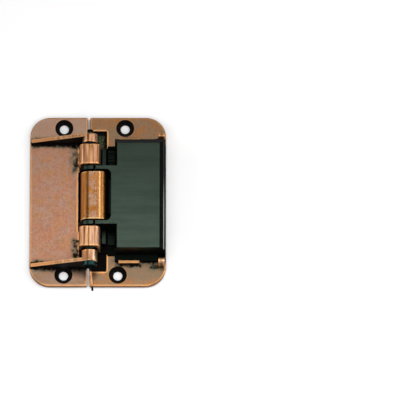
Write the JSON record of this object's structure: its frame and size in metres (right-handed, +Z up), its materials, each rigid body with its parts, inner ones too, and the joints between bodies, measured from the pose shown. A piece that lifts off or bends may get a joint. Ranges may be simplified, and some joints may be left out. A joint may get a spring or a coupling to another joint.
{
  "type": "center hinge",
  "caption": "Folding-door center hinge with a raised pin: a gusseted cast leaf, a leaf with rolled knuckles, and a spring box whose follower works against a cam on the pin.",
  "frame": {"origin": "under the pin's axis, half way along the leaves, in the plane of the leaves' fixing faces", "axes": "+X across the leaves towards the spring box, +Y along the pin towards its nub, +Z up from the fixing faces towards the pin"},
  "size_m": [0.0614, 0.0845, 0.0155],
  "materials": {
    "aged_copper": "antique copper plating on a casting, satin, darkened in the hollows",
    "bright_copper": "antique copper plating rubbed brighter",
    "black_steel": "blackened steel",
    "bare_steel": "drawn spring wire",
    "black_resin": "moulded black resin, half gloss"
  },
  "bodies": {
    "box_side": {"right_leaf": "aged_copper", "spring_box": "black_resin", "upper_bush": "black_resin", "lower_bush": "black_resin", "upper_spring": "bare_steel", "lower_spring": "bare_steel"},
    "gusset_side": {"left_leaf": "aged_copper", "hinge_pin": "black_steel", "release_wire": "bare_steel", "cam": "bright_copper"},
    "follower_side": {"follower": "black_resin"}
  },
  "joints": [
    {"name": "leaf_fold", "type": "hinge", "parent": "box_side", "child": "gusset_side", "pos_m": [0, 0, 0.0105], "axis": [0, 1, 0], "range_deg": [0, 180]},
    {"name": "follower_slide", "type": "slide", "parent": "box_side", "child": "follower_side", "axis": [1, 0, 0], "range_m": [0, 0.0025], "stiffness_N_per_m": 3000, "springref_m": -0.002, "deforming": ["upper_spring", "lower_spring"]}
  ]
}
